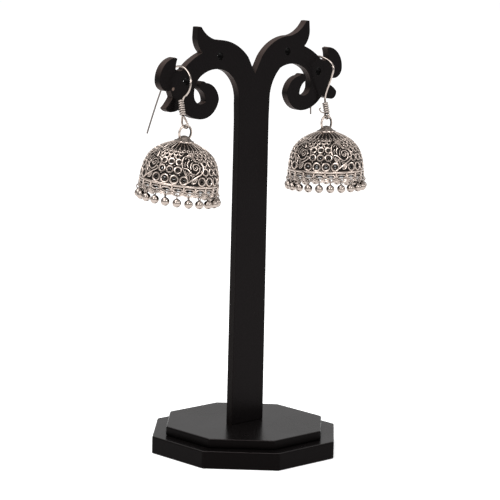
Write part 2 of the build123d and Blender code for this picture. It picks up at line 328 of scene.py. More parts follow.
def laid(points, middle, z0, lift):
    """Points of a flat drawing laid on the bell round one angle and height; y runs along the skin."""
    start = np.interp(z0, SKIN_Z, SKIN_RUN)
    line = []
    for x, y in points:
        z = float(np.interp(start + y, SKIN_RUN, SKIN_Z))
        line.append(on_skin(middle + degrees(x / skin(z)[0]), z, lift).translation)
    return line


def full_turn(steps):
    """Equal angles once round, in radians."""
    return np.linspace(0, 2 * pi, steps + 1)[:-1]


def through(points, steps, closed=False):
    """A smooth line through a few drawn points."""
    p = [np.array(q, float) for q in points]
    ends = (p[-1], p[0], p[1]) if closed else (2 * p[0] - p[1], 2 * p[-1] - p[-2])
    run = [ends[0], *p, *ends[1:]]
    line = []
    for a, b, c, d in zip(run, run[1:], run[2:], run[3:]):
        for t in np.arange(steps) / steps:
            line.append(0.5 * (2 * b + (c - a) * t + (2 * a - 5 * b + 4 * c - d) * t**2
                               + (3 * b - a - 3 * c + d) * t**3))
    return line if closed else [*line, p[-1]]


def source(name, points=(), lines=(), turns=None, thick=None):
    """A holder of bare points, and of (line, closed) rows, in mm, to grow wire, rings or balls on."""
    points, edges = [Vector(p) for p in points], []
    for line, closed in lines:
        first = len(points)
        points += [Vector(p) for p in line]
        edges += [(first + k, first + k + 1) for k in range(len(line) - 1)]
        if closed:
            edges.append((len(points) - 1, first))
    mesh = bpy.data.meshes.new(name)
    mesh.from_pydata([p * MM for p in points], edges, [])
    if turns is not None:
        flat = [c for turn in turns for c in turn]
        mesh.attributes.new("turn", "FLOAT_VECTOR", "POINT").data.foreach_set("vector", flat)
    sizes = [1.0] * len(points) if thick is None else thick
    mesh.attributes.new("thick", "FLOAT", "POINT").data.foreach_set("value", sizes)
    return placed(name, mesh)


def lathe(name, profile, steps):
    """A closed solid of revolution about Z from a closed profile of (radius, height), in mm."""
    bm = bmesh.new()
    rings = []
    for r, z in profile:
        if r < 1e-6:
            rings.append([bm.verts.new((0, 0, z * MM))] * steps)
        else:
            angles = [2 * pi * k / steps for k in range(steps)]
            rings.append([bm.verts.new((r * cos(t) * MM, r * sin(t) * MM, z * MM)) for t in angles])
    for low, high in zip(rings, rings[1:] + rings[:1]):
        for k in range(steps):
            j = (k + 1) % steps
            corners = list(dict.fromkeys((low[k], low[j], high[j], high[k])))
            if len(corners) > 2:
                bm.faces.new(corners)
    bmesh.ops.recalc_face_normals(bm, faces=bm.faces)
    for face in bm.faces:
        face.smooth = True
    mesh = bpy.data.meshes.new(name)
    bm.to_mesh(mesh)
    bm.free()
    return mesh


# ------------------------------------------------------------ finishes
def weathering_group():
    """Tarnish: bright metal on the polished heights, dark sulphide in the hollows, both uneven."""
    tree, given, made = new_tree("silver tarnish", "ShaderNodeTree", (
        ("Bright", "Color", (0.5, 0.422, 0.372, 1)),
        ("Dark", "Color", (0.011, 0.0085, 0.0072, 1)),
        ("Low", "Float", 0.2),
        ("High", "Float", 0.8),
        ("Mottle", "Float", 0.3),
        ("Grain Size", "Float", 900.0),
        ("Polished Roughness", "Float", 0.2),
        ("Tarnished Roughness", "Float", 0.55),
    ), (("Color", "Color"), ("Roughness", "Float"), ("Metallic", "Float"), ("Height", "Float")))
    place = node(tree, "ShaderNodeTexCoord").outputs["Object"]
    coarse = node(tree, "ShaderNodeTexNoise", {
        "Vector": place, "Scale": given["Grain Size"], "Detail": 4.0, "Roughness": 0.6})
    fine = node(tree, "ShaderNodeTexNoise", {
        "Vector": place, "Scale": 5200.0, "Detail": 3.0, "Roughness": 0.6})
    # polish is wear and tarnish; on the ear wires' coils it also carries painted shade between the turns
    polish = node(tree, "ShaderNodeAttribute", attribute_name="polish").outputs["Fac"]
    swing = node(tree, "ShaderNodeMath", {0: coarse.outputs["Fac"], 1: 0.5}, operation="SUBTRACT")
    shift = node(tree, "ShaderNodeMath", {0: swing.outputs[0], 1: given["Mottle"]}, operation="MULTIPLY")
    worn = node(tree, "ShaderNodeMath", {0: polish, 1: shift.outputs[0]}, operation="ADD")
    shine = node(tree, "ShaderNodeMapRange", {
        "Value": worn.outputs[0], "From Min": given["Low"], "From Max": given["High"]},
        interpolation_type="SMOOTHSTEP").outputs["Result"]
    colour = node(tree, "ShaderNodeMix", {0: shine, 6: given["Dark"], 7: given["Bright"]}, data_type="RGBA")
    rough = node(tree, "ShaderNodeMapRange", {
        "Value": shine, "To Min": given["Tarnished Roughness"], "To Max": given["Polished Roughness"]})
    smudge = node(tree, "ShaderNodeMath", {0: swing.outputs[0], 1: 0.18}, operation="MULTIPLY")
    uneven = node(tree, "ShaderNodeMath", {
        0: rough.outputs["Result"], 1: smudge.outputs[0]}, operation="ADD", use_clamp=True)
    metal = node(tree, "ShaderNodeMapRange", {"Value": shine, "To Min": 0.35, "To Max": 1.0})
    tree.links.new(colour.outputs[2], made["Color"])
    tree.links.new(uneven.outputs[0], made["Roughness"])
    tree.links.new(metal.outputs["Result"], made["Metallic"])
    tree.links.new(fine.outputs["Fac"], made["Height"])
    return tree


def paint_group():
    """Sprayed black paint: orange peel, thin dust and one small chip; sawn sides that face up or down are
    painted browner, a painted sheen partly dust.
    """
    tree, given, made = new_tree("sprayed black", "ShaderNodeTree", (
        ("Black", "Color", (0.0028, 0.0022, 0.0023, 1)),
        ("Dust", "Color", (0.02, 0.017, 0.016, 1)),
        ("Dust Share", "Float", 0.1),
        ("Roughness", "Float", 0.27),
        ("Unevenness", "Float", 0.12),
        ("Fibre", "Float", 0.0),
        ("Sawn Share", "Float", 0.0),
        ("Chip Place", "Vector", None),
        ("Chip Size", "Float", 0.0),
    ), (("Color", "Color"), ("Roughness", "Float"), ("Height", "Float")))
    place = node(tree, "ShaderNodeTexCoord").outputs["Object"]
    cloud = node(tree, "ShaderNodeTexNoise", {
        "Vector": place, "Scale": 55.0, "Detail": 3.0, "Roughness": 0.6})
    peel = node(tree, "ShaderNodeTexNoise", {
        "Vector": place, "Scale": 1400.0, "Detail": 2.0, "Roughness": 0.5})
    stretched = node(tree, "ShaderNodeMapping", {"Vector": place, "Scale": (300.0, 2200.0, 300.0)})
    fibres = node(tree, "ShaderNodeTexNoise", {
        "Vector": stretched.outputs[0], "Scale": 1.0, "Detail": 4.0, "Roughness": 0.7})
    specks = node(tree, "ShaderNodeTexNoise", {
        "Vector": place, "Scale": 2600.0, "Detail": 3.0, "Roughness": 0.8})
    dusty = node(tree, "ShaderNodeMapRange", {
        "Value": specks.outputs["Fac"], "From Min": 0.55, "From Max": 0.75, "To Max": given["Dust Share"]})
    dusted = node(tree, "ShaderNodeMix", {
        0: dusty.outputs["Result"], 6: given["Black"], 7: given["Dust"]}, data_type="RGBA")
    # painted sheen with some dust: faces turned up or down mix towards brown, standing in for the light
    # they catch
    normal = node(tree, "ShaderNodeTexCoord").outputs["Normal"]
    tilt = node(tree, "ShaderNodeSeparateXYZ", {0: normal}).outputs["Z"]
    level = node(tree, "ShaderNodeMath", {0: tilt}, operation="ABSOLUTE")
    sawn = node(tree, "ShaderNodeMapRange", {
        "Value": level.outputs[0], "From Min": 0.08, "From Max": 0.8, "To Max": given["Sawn Share"]})
    sheen_and_dust = node(tree, "ShaderNodeMix", {
        0: sawn.outputs["Result"], 6: dusted.outputs[2], 7: (0.045, 0.032, 0.028, 1)}, data_type="RGBA")
    far = node(tree, "ShaderNodeVectorMath", {0: place, 1: given["Chip Place"]}, operation="DISTANCE")
    ragged = node(tree, "ShaderNodeMath", {
        0: far.outputs["Value"], 1: specks.outputs["Fac"]}, operation="MULTIPLY")
    chip = node(tree, "ShaderNodeMath", {0: ragged.outputs[0], 1: given["Chip Size"]},
                operation="LESS_THAN")
    chipped = node(tree, "ShaderNodeMix", {
        0: chip.outputs[0], 6: sheen_and_dust.outputs[2], 7: (0.13, 0.092, 0.075, 1)}, data_type="RGBA")
    drift = node(tree, "ShaderNodeMath", {0: cloud.outputs["Fac"], 1: 0.5}, operation="SUBTRACT")
    sway = node(tree, "ShaderNodeMath", {0: drift.outputs[0], 1: given["Unevenness"]}, operation="MULTIPLY")
    rough = node(tree, "ShaderNodeMath", {0: given["Roughness"], 1: sway.outputs[0]}, operation="ADD")
    height = node(tree, "ShaderNodeMix", {
        0: given["Fibre"], 2: peel.outputs["Fac"], 3: fibres.outputs["Fac"]}, data_type="FLOAT")
    tree.links.new(chipped.outputs[2], made["Color"])
    tree.links.new(rough.outputs[0], made["Roughness"])
    tree.links.new(height.outputs[0], made["Height"])
    return tree


def finish_from(name, group, values, bump, distance, **shader_values):
    """A material on one Principled shader, fed by an effect group with its own values."""
    material = bpy.data.materials.new(name)
    material.use_nodes = True
    tree = material.node_tree
    shader = tree.nodes["Principled BSDF"]
    effect = node(tree, "ShaderNodeGroup", node_tree=group)
    for label, value in values.items():
        effect.inputs[label].default_value = value
    for label in ("Base Color", "Roughness", "Metallic"):
        made = effect.outputs.get("Color" if label == "Base Color" else label)
        if made:
            tree.links.new(made, shader.inputs[label])
    dents = node(tree, "ShaderNodeBump", {
        "Height": effect.outputs["Height"], "Strength": bump, "Distance": distance})
    tree.links.new(dents.outputs["Normal"], shader.inputs["Normal"])
    for label, value in shader_values.items():
        shader.inputs[label.replace("_", " ")].default_value = value
    return material


tarnish, black_spray = weathering_group(), paint_group()
antique_silver = finish_from("antique_silver", tarnish, {
    "Low": 0.36, "High": 0.88, "Mottle": 0.5,
}, bump=0.35, distance=0.00006, Specular_IOR_Level=0.12)
bead_silver = finish_from("bead_silver", tarnish, {
    "Bright": (0.37, 0.315, 0.28, 1), "Low": 0.1, "High": 0.7, "Mottle": 0.25, "Polished Roughness": 0.17,
}, bump=0.12, distance=0.00003)
wire_silver = finish_from("ear_wire_silver", tarnish, {
    "Bright": (0.4, 0.345, 0.31, 1), "Low": 0.15, "High": 0.75, "Mottle": 0.2, "Polished Roughness": 0.15,
}, bump=0.1, distance=0.00002)

WARM = (1.0, 0.86, 0.86, 1.0)
WARMER = (1.0, 0.8, 0.8, 1.0)
BASE_BLACK = (0.0022, 0.0018, 0.0018, 1)
face_paint = finish_from("face_paint", black_spray, {
    "Chip Place": (-0.0388, -0.0015, 0.1339), "Chip Size": 0.00028,
}, bump=0.25, distance=0.00003, Specular_IOR_Level=0.05, Specular_Tint=WARM)
top_paint = finish_from("base_top_paint", black_spray, {
    "Black": BASE_BLACK, "Roughness": 0.26,
}, bump=0.25, distance=0.00003, Specular_IOR_Level=0.24, Specular_Tint=WARMER)
side_paint = finish_from("base_side_paint", black_spray, {
    "Black": BASE_BLACK, "Roughness": 0.3,
}, bump=0.25, distance=0.00003, Specular_IOR_Level=0.03, Specular_Tint=WARM)
# the sawn sides carry the painted sheen with dust: browner where they face up or down
edge_paint = finish_from("edge_paint", black_spray, {
    "Black": (0.004, 0.0032, 0.003, 1), "Dust Share": 0.3, "Sawn Share": 1.0, "Roughness": 0.5,
    "Fibre": 0.75,
}, bump=0.3, distance=0.00006, Specular_IOR_Level=0.06, Specular_Tint=WARM)
STAND_PAINTS = {         # the paints of each piece, in the order that paint_place numbers them
    "base_plate": (top_paint, side_paint),
    "base_step": (top_paint, side_paint),
    "stand_board": (face_paint, edge_paint, side_paint),
}


# ------------------------------------------------------------ studio, in metres
CAMERA_AWAY, CAMERA_HEIGHT, LENS, SENSOR = 0.875, 0.229, 177.3, 36.0
BEARING, PAN, PITCH, ROLL = -43.3, -0.04, 10.1, 1.3         # degrees; bearing 0 looks at the front
LAMPS = (                # name, place, size, power in watts
    ("softbox_above", (-0.25, 0.15, 0.95), 0.7, 6.0),
    ("softbox_left", (-0.82, -0.28, 0.62), 0.3, 2.2),
    ("softbox_right", (0.75, -0.75, 0.55), 0.35, 1.6),
    ("softbox_front", (-0.12, -0.85, 0.62), 0.3, 2.4),
)
LAMPS_AIM = Vector((0, 0, 0.1))
FLOOR_HALF = 6.0


def add_camera():
    """Camera at the stand's front left, a little above the bells."""
    camera = placed("camera", bpy.data.cameras.new("camera"))
    bpy.context.scene.camera = camera
    bearing, pan, pitch, roll = (radians(turn) for turn in (BEARING, PAN, PITCH, ROLL))
    camera.data.lens, camera.data.sensor_width = LENS, SENSOR
    ahead = Vector((-sin(bearing + pan) * cos(pitch), cos(bearing + pan) * cos(pitch), -sin(pitch)))
    right = ahead.cross(Vector((0, 0, 1))).normalized()
    up = right.cross(ahead)
    level = Matrix((right * cos(roll) + up * sin(roll), up * cos(roll) - right * sin(roll), -ahead))
    place = (sin(bearing) * CAMERA_AWAY, -cos(bearing) * CAMERA_AWAY, CAMERA_HEIGHT)
    camera.matrix_world = Matrix.Translation(place) @ level.transposed().to_4x4()
    camera.data.clip_start, camera.data.clip_end = 0.01, 50


def add_floor():
    """Pale glowing floor that the foot rests on."""
    floor_mesh = bpy.data.meshes.new("floor")
    half = FLOOR_HALF
    floor_mesh.from_pydata([(-half, -half, 0), (half, -half, 0), (half, half, 0), (-half, half, 0)],
                           [], [(0, 1, 2, 3)])
    floor = placed("floor", floor_mesh)
    pale = bpy.data.materials.new("pale_floor")
    pale.use_nodes = True
    glow = pale.node_tree.nodes["Principled BSDF"].inputs
    glow["Base Color"].default_value = (0.9, 0.9, 0.9, 1)
    glow["Roughness"].default_value = 0.9
    glow["Specular IOR Level"].default_value = 0.1
    glow["Emission Color"].default_value = (1, 1, 1, 1)
    glow["Emission Strength"].default_value = 0.42
    floor.data.materials.append(pale)


def add_surroundings():
    """A pale room, lighter overhead, in place of a sky."""
    world = bpy.data.worlds.new("studio")
    bpy.context.scene.world = world
    world.use_nodes = True
    tree = world.node_tree
    direction = node(tree, "ShaderNodeTexCoord").outputs["Generated"]
    upward = node(tree, "ShaderNodeSeparateXYZ", {0: direction}).outputs["Z"]
    ramp = node(tree, "ShaderNodeValToRGB", {0: upward})
    low, high = ramp.color_ramp.elements
    low.color, high.color, high.position = (0.52, 0.52, 0.52, 1), (0.85, 0.85, 0.85, 1), 0.9
    tree.links.new(ramp.outputs["Color"], tree.nodes["Background"].inputs["Color"])
    tree.nodes["Background"].inputs["Strength"].default_value = 0.85


def add_lamps():
    """Soft square lamps, all turned to the stand."""
    for name, place, size, power in LAMPS:
        lamp = bpy.data.lights.new(name, "AREA")
        lamp.shape, lamp.size, lamp.energy = "SQUARE", size, power
        holder = placed(name, lamp)
        holder.location = place
        holder.rotation_euler = (LAMPS_AIM - Vector(place)).to_track_quat("-Z", "Y").to_euler()


# ------------------------------------------------------------ stand
SAME_WAY = 0.7           # a face whose normal has this much of an axis is square to it
SHARP = radians(35)      # edges of the stand that turn more than this are eased


def paint_place(face, board):
    """Which of its piece's paints a face takes: faces and tops, sawn sides, or the drilled holes."""
    if not board:
        return 0 if abs(face.normal.z) > SAME_WAY else 1
    x, y, z = face.center / MM
    # the drilled holes' walls take the darkest paint, without the browner sheen: painted shade in the holes
    if any(hypot(abs(x) - hole_x, z - hole_z) < HOLE_REACH for hole_x, hole_z in HOLES):
        return 2
    return 1 if abs(face.normal.y) < SAME_WAY else 0


def painted(name, cad_name, bevel):
    """A painted copy of a sawn piece, its edges eased by a bevel in mm; rougher paint on sawn sides."""
    bm = bmesh.new()
    bm.from_mesh(frame["nodes"][cad_name].data)
    bmesh.ops.remove_doubles(bm, verts=bm.verts, dist=1e-6)
    bmesh.ops.dissolve_limit(bm, angle_limit=radians(0.5), verts=bm.verts, edges=bm.edges)
    mesh = bpy.data.meshes.new(name)
    bm.to_mesh(mesh)
    bm.free()
    piece = placed(name, mesh)
    for paint in STAND_PAINTS[cad_name]:
        mesh.materials.append(paint)
    for face in mesh.polygons:
        face.material_index = paint_place(face, cad_name == "stand_board")
        face.use_smooth = True
    easing = piece.modifiers.new("eased edges", "BEVEL")
    easing.width, easing.segments, easing.limit_method = bevel * MM, 2, "ANGLE"
    easing.angle_limit = SHARP
    easing.harden_normals = True
    mesh.set_sharp_from_angle(angle=SHARP)
    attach(piece, "stand")
    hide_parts(cad_name)


# ------------------------------------------------------------ one bell
# Flat drawings of one paisley in mm, x to its right and y up the bell from its middle.
PAISLEY_LINES = (        # closed, thickness against the vein's wire, points
    (True, 1.0, ((-1.35, -4.6), (-0.5, -4.0), (0.7, -3.15), (2.1, -2.3), (3.4, -1.5), (4.15, -0.5),
                 (4.3, 0.6), (3.95, 1.7), (3.2, 2.6), (2.2, 3.0), (1.3, 3.1), (1.0, 3.9), (0.4, 4.8),
                 (-0.6, 5.3), (-1.7, 5.2), (-2.7, 4.4), (-3.3, 3.2), (-3.55, 1.8), (-3.5, 0.4),
                 (-2.95, -1.0), (-2.3, -2.1), (-1.75, -3.0), (-1.6, -3.9))),
    (False, 0.85, ((-3.1, 0.3), (-2.3, 0.25), (-1.6, 0.0), (-0.9, -0.75), (-0.1, -1.4), (1.2, -1.65),
                   (2.3, -1.0), (2.85, 0.0), (2.8, 1.1), (2.2, 1.9), (1.4, 2.15), (0.6, 1.9), (0.2, 1.1),
                   (0.6, 0.2), (1.4, -0.1), (2.0, 0.5), (1.9, 1.1), (1.3, 1.2))),
    (False, 0.6, ((1.0, 2.9), (0.6, 3.6), (0.0, 4.3), (-0.8, 4.6), (-1.7, 4.4), (-2.5, 3.6))),
    (False, 0.75, ((-1.5, 0.6), (-1.8, 1.5), (-1.6, 2.4), (-1.0, 3.2))),
    (False, 0.75, ((-0.6, 0.1), (-0.7, 1.1), (-0.4, 2.0), (0.2, 2.7))),
    (False, 0.6, ((-2.75, 0.9), (-2.7, 1.8), (-2.3, 2.6))),
    (False, 0.7, ((-2.55, -0.5), (-2.3, -1.3), (-1.75, -2.1))),
    (False, 0.7, ((-1.75, -1.0), (-1.2, -1.9), (-0.9, -3.0), (-1.1, -3.8))),
    (False, 0.6, ((-0.7, -1.9), (0.2, -2.2), (0.9, -2.3))),
)
PAISLEY_BALLS = (        # x, y, size of each grain
    (-0.95, -1.35, 0.8), (0.1, -2.75, 0.7), (1.1, 0.6, 0.8), (3.45, -0.45, 0.9), (-1.2, 3.75, 0.8),
    (3.3, 0.9, 0.7), (2.4, 2.4, 0.6), (-0.5, -0.85, 0.7), (-0.2, 3.5, 0.7),
)
LEAF_LINES = (           # leaves beside its tail and its head, as the lines above
    (True, 0.8, ((0.2, -4.75), (0.3, -3.9), (1.1, -3.2), (1.9, -3.0), (1.7, -3.9), (1.1, -4.7))),
    (False, 0.6, ((0.6, -4.5), (1.0, -3.9), (1.5, -3.4))),
    (True, 0.7, ((-1.0, 6.0), (-0.1, 5.9), (0.9, 5.3), (0.2, 5.4))),
    (True, 0.7, ((1.7, 4.2), (2.6, 3.8), (3.3, 3.4), (2.6, 4.3))),
)
BELL_SHARP = radians(40)
SECTORS = [FIRST_PAISLEY + 360 / PAISLEYS * k for k in range(PAISLEYS)]


def within(x, y, outline):
    """Whether a point lies inside a drawn outline."""
    inside = False
    for (x0, y0), (x1, y1) in zip(outline, outline[1:] + outline[:1]):
        if (y0 > y) != (y1 > y) and x < x0 + (y - y0) * (x1 - x0) / (y1 - y0):
            inside = not inside
    return inside


PAISLEY_EDGE = [tuple(p) for p in through(PAISLEY_LINES[0][2], 4, True)]


def free_of_paisleys(angle, z, margin):
    """Whether a place on the bell, with this margin round it, clears every paisley's outline."""
    start = np.interp(PAISLEY_Z, SKIN_Z, SKIN_RUN)
    y = float(np.interp(z, SKIN_Z, SKIN_RUN) - start)
    for middle in SECTORS:
        off = (angle - middle + 180) % 360 - 180
        x = radians(off) * skin(z)[0]
        if any(within(x + dx * margin, y + dy * margin, PAISLEY_EDGE)
               for dx, dy in ((0, 0), (1, 0), (-1, 0), (0, 1), (0, -1))):
            return False
    return True


def ring_cells():
    """Angle, height and outer radius of every pierced ring."""
    return [(middle + side, z, r) for middle in SECTORS for z, r, sides in RING_ROWS for side in sides]


def wall_mesh():
    """Plain wall of the bell behind its raised work, open at the mouth."""
    outer, inner = [], []
    for z in np.linspace(-0.2, CAP_Z - 0.2, 34):
        r, lean = skin(z)
        outer.append((r - RELIEF * cos(lean), z - RELIEF * sin(lean)))
        inner.append((r - (RELIEF + WALL) * cos(lean), z - (RELIEF + WALL) * sin(lean)))
    return lathe("wall", outer + inner[::-1], 180)


def cap_mesh():
    """Conical cap, with a rolled lip, that closes the bell's crown."""
    low = CAP_Z - 0.9
    return lathe("cap", (    # radius, height
        (0, low), (2.6, low), (3.1, low + 0.45), (CAP_R - 0.02, CAP_Z - 0.16), (CAP_R, CAP_Z),
        (CAP_R - 0.1, CAP_Z + 0.2), (3.25, CAP_Z + 0.27), (3.05, CAP_Z + 0.22), (2.85, CAP_Z + 0.38),
        (2.4, CAP_Z + 0.72), (1.95, CAP_Z + 1.1), (1.65, CAP_Z + 1.45), (1.35, CAP_Z + 1.68),
        (0.95, CAP_Z + 1.85), (0.45, APEX_Z - 0.06), (0, APEX_Z)), 96)


def rim_mesh():
    """Plain rounded band round the mouth."""
    middle, half = RIM_R - 0.3, RIM_HIGH / 2
    return lathe("rim", (    # radius, height
        (RIM_R - RIM_DEEP, -half + 0.1), (middle, -half), (RIM_R - 0.1, -half + 0.12), (RIM_R, -0.12),
        (RIM_R, 0.12), (RIM_R - 0.1, half - 0.12), (middle, half), (RIM_R - RIM_DEEP, half - 0.1)), 200)


def post_mesh(angle):
    """Small turned post under the rim, thicker at both ends."""
    mesh = lathe("post", (   # radius, height
        (0, POST_LOW - 0.42), (0.26, POST_LOW - 0.34), (0.4, POST_LOW - 0.02), (0.3, POST_LOW + 0.3),
        (0.24, -1.6), (0.3, -0.9), (0.42, -0.4), (0, -0.3)), 10)
    mesh.transform(Matrix.Translation(Vector((cos(angle), sin(angle), 0)) * POST_CIRCLE * MM))
    return mesh


def joined(name, meshes, material):
    """One object of one material from several meshes."""
    bm = bmesh.new()
    for mesh in meshes:
        bm.from_mesh(mesh)
        bpy.data.meshes.remove(mesh)
    mesh = bpy.data.meshes.new(name)
    bm.to_mesh(mesh)
    bm.free()
    mesh.materials.append(material)
    return placed(name, mesh)


def polish_by(mesh, measure):
    """Store how proud each point stands, 0 in a hollow to 1 on a height, from a function of its place."""
    values = [max(0.0, min(1.0, measure(*(vertex.co / MM)))) for vertex in mesh.vertices]
    spot = mesh.attributes.get("polish") or mesh.attributes.new("polish", "FLOAT", "POINT")
    spot.data.foreach_set("value", values)


HEM_TOP, RIM_TOP, LIP_LOW, RING_LOW = -0.5, 0.55, CAP_Z - 0.1, CAP_Z + 0.3      # heights of the parts
RIM_BRIGHT, RIM_INSIDE, LIP_BRIGHT, CONE_BRIGHT = 1.0, 0.1, 0.85, 0.54
RIM_FACE, LIP_FACE = 0.75, 0.3         # how far in from their outside the rim and the lip are rubbed
RING_DULL, RING_GAIN, HEM_GAIN = 0.3, 0.5, 1.1
NEAR = 0.02                            # mm that a point may lie off the part that it belongs to


def bell_polish(x, y, z):
    """Wear on the bell: the raised work is rubbed bright, its ground and the inside stay dark."""
    out = hypot(x, y)
    if z < HEM_TOP:
        return (out - HOOP_R) * HEM_GAIN
    if z < RIM_TOP:
        return RIM_BRIGHT if out > RIM_R - RIM_FACE else RIM_INSIDE
    from_ring = hypot(x, z - TOP_RING_Z) - TOP_RING_R
    on_ring = abs(y) < TOP_RING_WIRE + NEAR and abs(from_ring) < TOP_RING_WIRE + NEAR
    if on_ring and z > RING_LOW:
        return RING_DULL + (from_ring + TOP_RING_WIRE) / TOP_RING_WIRE * RING_GAIN
    if z > LIP_LOW:
        return LIP_BRIGHT if out > CAP_R - LIP_FACE else CONE_BRIGHT
    r, lean = skin(z)
    proud = (out - r) * cos(lean)
    return (proud + RELIEF + NEAR) / (RELIEF + NEAR)


def pierced_wall():
    """The wall with a hole in the middle of every ring."""
    wall = placed("wall", wall_mesh())
    holes = [(on_skin(angle, z, -RELIEF), r - HOLE_LEDGE) for angle, z, r in ring_cells()]
    pierced = grown("pierced wall", source(
        "holes", [place.translation for place, r in holes], turns=[place.to_euler() for place, r in holes],
        thick=[r for place, r in holes]), PIERCING_TREE, antique_silver, Wall=wall)
    bpy.data.objects.remove(wall)
    return pierced


def rings_on_skin(name, cells, radius, wire, stretch=1.0, sink=1.0, steps=22):
    """Equal wire rings at each (angle, height), their wire sunk in the bell's skin."""
    places = [on_skin(angle, z, -wire * sink) for angle, z in cells]
    return grown(name, source(name, [place.translation for place in places],
                              turns=[place.to_euler() for place in places]),
                 RING_TREE, antique_silver, **{"Ring Radius": radius - wire, "Wire Radius": wire,
                                               "Ring Steps": steps, "Stretch": stretch})


def raised_rings():
    """The cast rings, with the lip of each one's hole, and the ovals of the net."""
    made = []
    for z, r, sides in RING_ROWS:
        row = [(middle + side, z) for middle in SECTORS for side in sides]
        made.append(rings_on_skin("rings", row, r, RING_WIRE))
        made.append(rings_on_skin("lips", row, r - HOLE_LEDGE + LIP_OVER, LIP_WIRE,
                                  sink=LIP_SINK, steps=16))
    for level, (z, count, r, stretch) in enumerate(NET_ROWS):
        ovals = [(360 / count * (k + level % 2 / 2), z) for k in range(count)]
        free = [(angle, z) for angle, z in ovals if free_of_paisleys(angle, z, r * 0.9)]
        made.append(rings_on_skin("ovals", free, r, NET_WIRE, stretch, steps=12))
    return made


def paisley_work():
    """Every paisley with its veins, leaves and grains, laid on the skin."""
    lines, sizes, grains = [], [], []
    for middle in SECTORS:
        for closed, thick, points in (*PAISLEY_LINES, *LEAF_LINES):
            line = laid(through(points, 5, closed), middle, PAISLEY_Z, VEIN_LIFT)
            lines.append((line, closed))
            sizes += [thick] * len(line)
        for x, y, size in PAISLEY_BALLS:
            grains.append((laid([(x, y)], middle, PAISLEY_Z, GRAIN_LIFT)[0], size))
        for z, size, side in DOTS:
            grains.append((on_skin(middle + side, z, DOT_LIFT).translation, size))
    veins = grown("paisleys", source("paisleys", lines=lines, thick=sizes), WIRE_TREE, antique_silver,
                  **{"Wire Radius": VEIN_WIRE, "Wire Steps": 8})
    balls = grown("grains", source("grains", [place for place, size in grains],
                                   thick=[size for place, size in grains]),
                  GRAIN_TREE, antique_silver, **{"Ball Radius": GRAIN_R})
    return [veins, balls]


def crown_ribs():
    """Ribs that spread from the cap over the bell's crown."""
    angles = [360 / RIBS * (k + 0.5) for k in range(RIBS)]
    lines = [([on_skin(angle, z, RIB_LIFT).translation for z, thick in RIB_POINTS], False)
             for angle in angles]
    sizes = [thick for z, thick in RIB_POINTS] * RIBS
    return grown("ribs", source("ribs", lines=lines, thick=sizes), WIRE_TREE, antique_silver,
                 **{"Wire Radius": RIB_WIRE, "Wire Steps": 6})


def scalloped_hem():
    """Work under the rim: posts, an oval link and petals in every bay, hoops, and the scalloped wire."""
    lines, sizes, posts = [], [], []

    def add(line, closed, thick):
        """One more wire of this thickness."""
        lines.append((line, closed))
        sizes.extend([thick] * len(line))

    half = radians(180 / DROPS)      # from the middle of a bay to its posts
    far, near, rise = POST_CIRCLE * sin(half), POST_CIRCLE * cos(half), POST_LOW - SCALLOP_LOW
    wide, high, middle_z = LINK_OVAL
    for k in range(DROPS):
        middle = radians(FIRST_DROP + 360 / DROPS * k)
        bay = Matrix.Rotation(middle, 3, "Z")
        add([bay @ Vector((near, t * far, SCALLOP_LOW + rise * t * t)) for t in np.linspace(-1, 1, 9)],
            False, 1.0)
        add([bay @ Vector((OVAL_CIRCLE, wide * cos(t), middle_z + high * sin(t))) for t in full_turn(16)],
            True, 1.0)
        for way in (-1, 1):
            add([bay @ Vector((near, way * t * far, SCALLOP_LOW + PETAL_RISE + rise * t * t))
                 for t in np.linspace(PETAL_START, 1, 5)], False, PETAL_THICK)
        posts.append(post_mesh(middle + half))
    for z in HOOPS:
        add([Vector((HOOP_R * cos(t), HOOP_R * sin(t), z)) for t in full_turn(96)], True, HOOP_THICK)
    wires = grown("scallops", source("scallops", lines=lines, thick=sizes), WIRE_TREE, antique_silver,
                  **{"Wire Radius": SCALLOP_WIRE, "Wire Steps": 8})
    return [*posts, wires]


UPRIGHT = Euler((pi / 2, 0, 0))        # turns a ring that lies flat into the XZ plane


def top_ring():
    """The ring on the cap, which hangs from the ear wire."""
    return grown("top ring", source("top ring", [(0, 0, TOP_RING_Z)], turns=[UPRIGHT]),
                 RING_TREE, antique_silver, **{"Ring Radius": TOP_RING_R, "Wire Radius": TOP_RING_WIRE,
                                               "Ring Steps": 48, "Wire Steps": 12})


def bell_parts():
    """The meshes of one bell in its own frame, from the scalloped wire to the ring on the cap."""
    return [pierced_wall(), *raised_rings(), *paisley_work(), crown_ribs(), cap_mesh(), rim_mesh(),
            *scalloped_hem(), top_ring()]


def drop_points(seat):
    """Where each drop hangs from the scalloped wire, in the world, with its turn about the plumb line."""
    ahead = seat.to_3x3() @ Vector((1, 0, 0))
    turn = np.arctan2(ahead.y, ahead.x)
    r = POST_CIRCLE * cos(radians(360 / DROPS / 2))
    places = []
    for k in range(DROPS):
        angle = radians(FIRST_DROP + 360 / DROPS * k)
        places.append((seat @ Vector((r * cos(angle), r * sin(angle), SCALLOP_LOW)), angle + turn))
    return places


